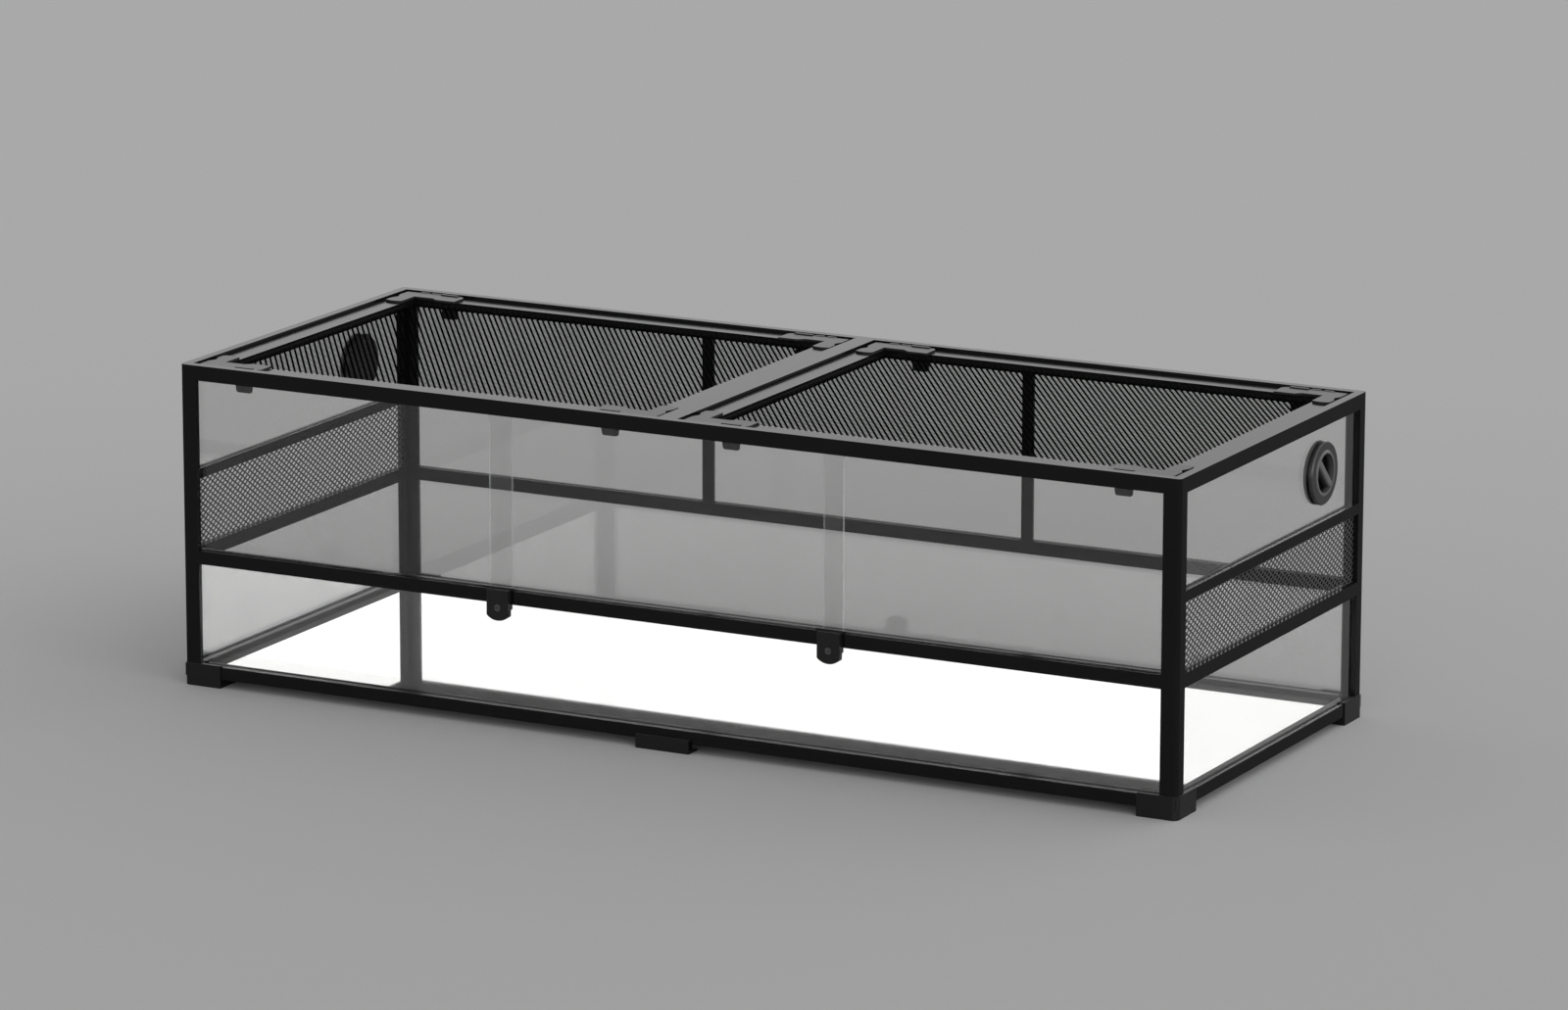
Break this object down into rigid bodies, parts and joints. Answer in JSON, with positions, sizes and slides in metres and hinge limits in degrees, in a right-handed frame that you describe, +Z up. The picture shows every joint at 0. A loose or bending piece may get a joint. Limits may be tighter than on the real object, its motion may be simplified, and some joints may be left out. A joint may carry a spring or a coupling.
{
  "type": "reptile terrarium",
  "caption": "Long glass terrarium on feet with a black frame, lapped sliding front doors, side vents, cable ports and lift-off mesh lids.",
  "frame": {"origin": "middle of the footprint on the table, below the tank's centre", "axes": "+X to the right along the doors, +Y from the doors to the rear, +Z up"},
  "size_m": [1.524, 0.6206, 0.4572],
  "materials": {
    "frame_black": "satin black powder coat",
    "plastic_black": "moulded, fine matt",
    "glass_clear": "clear float glass, polished edges",
    "mesh_black": "expanded metal, black coat",
    "floor_white": "glossy white panel",
    "lock_metal": "dark nickel plug"
  },
  "bodies": {
    "tank": {"bottom_rail_front": "frame_black", "bottom_rail_rear": "frame_black", "bottom_rail_left": "frame_black", "bottom_rail_right": "frame_black", "corner_feet": "plastic_black", "middle_feet": "plastic_black", "post_front_left": "frame_black", "post_front_right": "frame_black", "post_rear_left": "frame_black", "post_rear_right": "frame_black", "sill_rail": "frame_black", "mid_rail_rear": "frame_black", "mid_rail_left": "frame_black", "mid_rail_right": "frame_black", "vent_rail_left": "frame_black", "vent_rail_right": "frame_black", "top_rail_front": "frame_black", "top_rail_rear": "frame_black", "top_rail_left": "frame_black", "top_rail_right": "frame_black", "top_centre_bar": "frame_black", "rear_mullion_left": "frame_black", "rear_mullion_right": "frame_black", "floor_panel": "floor_white", "base_glass_front": "glass_clear", "base_glass_rear": "glass_clear", "base_glass_left": "glass_clear", "base_glass_right": "glass_clear", "side_glass_left": "glass_clear", "side_glass_right": "glass_clear", "rear_glass": "glass_clear", "vent_mesh_left": "mesh_black", "vent_mesh_right": "mesh_black", "port_collar_left": "plastic_black", "port_collar_right": "plastic_black", "port_nuts": "plastic_black", "lock_body_left": "plastic_black", "lock_body_right": "plastic_black"},
    "door_left": {"door_left": "glass_clear"},
    "door_middle": {"door_middle": "glass_clear"},
    "door_right": {"door_right": "glass_clear"},
    "lid_left": {"lid_frame_left": "frame_black", "lid_mesh_left": "mesh_black", "lid_corners_left": "plastic_black"},
    "lid_right": {"lid_frame_right": "frame_black", "lid_mesh_right": "mesh_black", "lid_corners_right": "plastic_black"},
    "port_cap_left": {"port_cap_left": "plastic_black"},
    "port_cap_right": {"port_cap_right": "plastic_black"},
    "lock_plug_left": {"lock_plug_left": "lock_metal"},
    "lock_plug_right": {"lock_plug_right": "lock_metal"},
    "latch_left_front_outer": {"latch_left_front_outer": "plastic_black"},
    "latch_left_front_inner": {"latch_left_front_inner": "plastic_black"},
    "latch_left_rear_outer": {"latch_left_rear_outer": "plastic_black"},
    "latch_left_rear_inner": {"latch_left_rear_inner": "plastic_black"},
    "latch_right_front_outer": {"latch_right_front_outer": "plastic_black"},
    "latch_right_front_inner": {"latch_right_front_inner": "plastic_black"},
    "latch_right_rear_outer": {"latch_right_rear_outer": "plastic_black"},
    "latch_right_rear_inner": {"latch_right_rear_inner": "plastic_black"}
  },
  "joints": [
    {"name": "door_left_slide", "type": "slide", "parent": "tank", "child": "door_left", "axis": [1, 0, 0], "range_m": [0, 0.23]},
    {"name": "door_middle_slide", "type": "slide", "parent": "tank", "child": "door_middle", "axis": [1, 0, 0], "range_m": [-0.46, 0.46]},
    {"name": "door_right_slide", "type": "slide", "parent": "tank", "child": "door_right", "axis": [-1, 0, 0], "range_m": [0, 0.23]},
    {"name": "lid_left_lift", "type": "slide", "parent": "tank", "child": "lid_left", "axis": [0, 0, 1], "range_m": [0, 0.2]},
    {"name": "lid_right_lift", "type": "slide", "parent": "tank", "child": "lid_right", "axis": [0, 0, 1], "range_m": [0, 0.2]},
    {"name": "latch_left_front_outer_swing", "type": "hinge", "parent": "lid_left", "child": "latch_left_front_outer", "pos_m": [-0.6697, -0.2826, 0.4481], "axis": [1, 0, 0], "range_deg": [0, 10], "stiffness_Nm_per_rad": 0.2},
    {"name": "latch_left_front_inner_swing", "type": "hinge", "parent": "lid_left", "child": "latch_left_front_inner", "pos_m": [-0.0922, -0.2826, 0.4481], "axis": [1, 0, 0], "range_deg": [0, 10], "stiffness_Nm_per_rad": 0.2},
    {"name": "latch_left_rear_outer_swing", "type": "hinge", "parent": "lid_left", "child": "latch_left_rear_outer", "pos_m": [-0.6697, 0.2826, 0.4481], "axis": [-1, 0, 0], "range_deg": [0, 10], "stiffness_Nm_per_rad": 0.2},
    {"name": "latch_left_rear_inner_swing", "type": "hinge", "parent": "lid_left", "child": "latch_left_rear_inner", "pos_m": [-0.0922, 0.2826, 0.4481], "axis": [-1, 0, 0], "range_deg": [0, 10], "stiffness_Nm_per_rad": 0.2},
    {"name": "latch_right_front_outer_swing", "type": "hinge", "parent": "lid_right", "child": "latch_right_front_outer", "pos_m": [0.6697, -0.2826, 0.4481], "axis": [1, 0, 0], "range_deg": [0, 10], "stiffness_Nm_per_rad": 0.2},
    {"name": "latch_right_front_inner_swing", "type": "hinge", "parent": "lid_right", "child": "latch_right_front_inner", "pos_m": [0.0922, -0.2826, 0.4481], "axis": [1, 0, 0], "range_deg": [0, 10], "stiffness_Nm_per_rad": 0.2},
    {"name": "latch_right_rear_outer_swing", "type": "hinge", "parent": "lid_right", "child": "latch_right_rear_outer", "pos_m": [0.6697, 0.2826, 0.4481], "axis": [-1, 0, 0], "range_deg": [0, 10], "stiffness_Nm_per_rad": 0.2},
    {"name": "latch_right_rear_inner_swing", "type": "hinge", "parent": "lid_right", "child": "latch_right_rear_inner", "pos_m": [0.0922, 0.2826, 0.4481], "axis": [-1, 0, 0], "range_deg": [0, 10], "stiffness_Nm_per_rad": 0.2},
    {"name": "port_cap_left_twist", "type": "hinge", "parent": "tank", "child": "port_cap_left", "pos_m": [-0.75, 0.165, 0.3705], "axis": [-1, 0, 0], "range_deg": [0, 90]},
    {"name": "port_cap_right_twist", "type": "hinge", "parent": "tank", "child": "port_cap_right", "pos_m": [0.75, 0.165, 0.3705], "axis": [1, 0, 0], "range_deg": [0, 90]},
    {"name": "lock_plug_left_turn", "type": "hinge", "parent": "tank", "child": "lock_plug_left", "pos_m": [-0.253, -0.305, 0.17], "axis": [0, 1, 0], "range_deg": [0, 90]},
    {"name": "lock_plug_right_turn", "type": "hinge", "parent": "tank", "child": "lock_plug_right", "pos_m": [0.253, -0.305, 0.17], "axis": [0, 1, 0], "range_deg": [0, 90]}
  ]
}
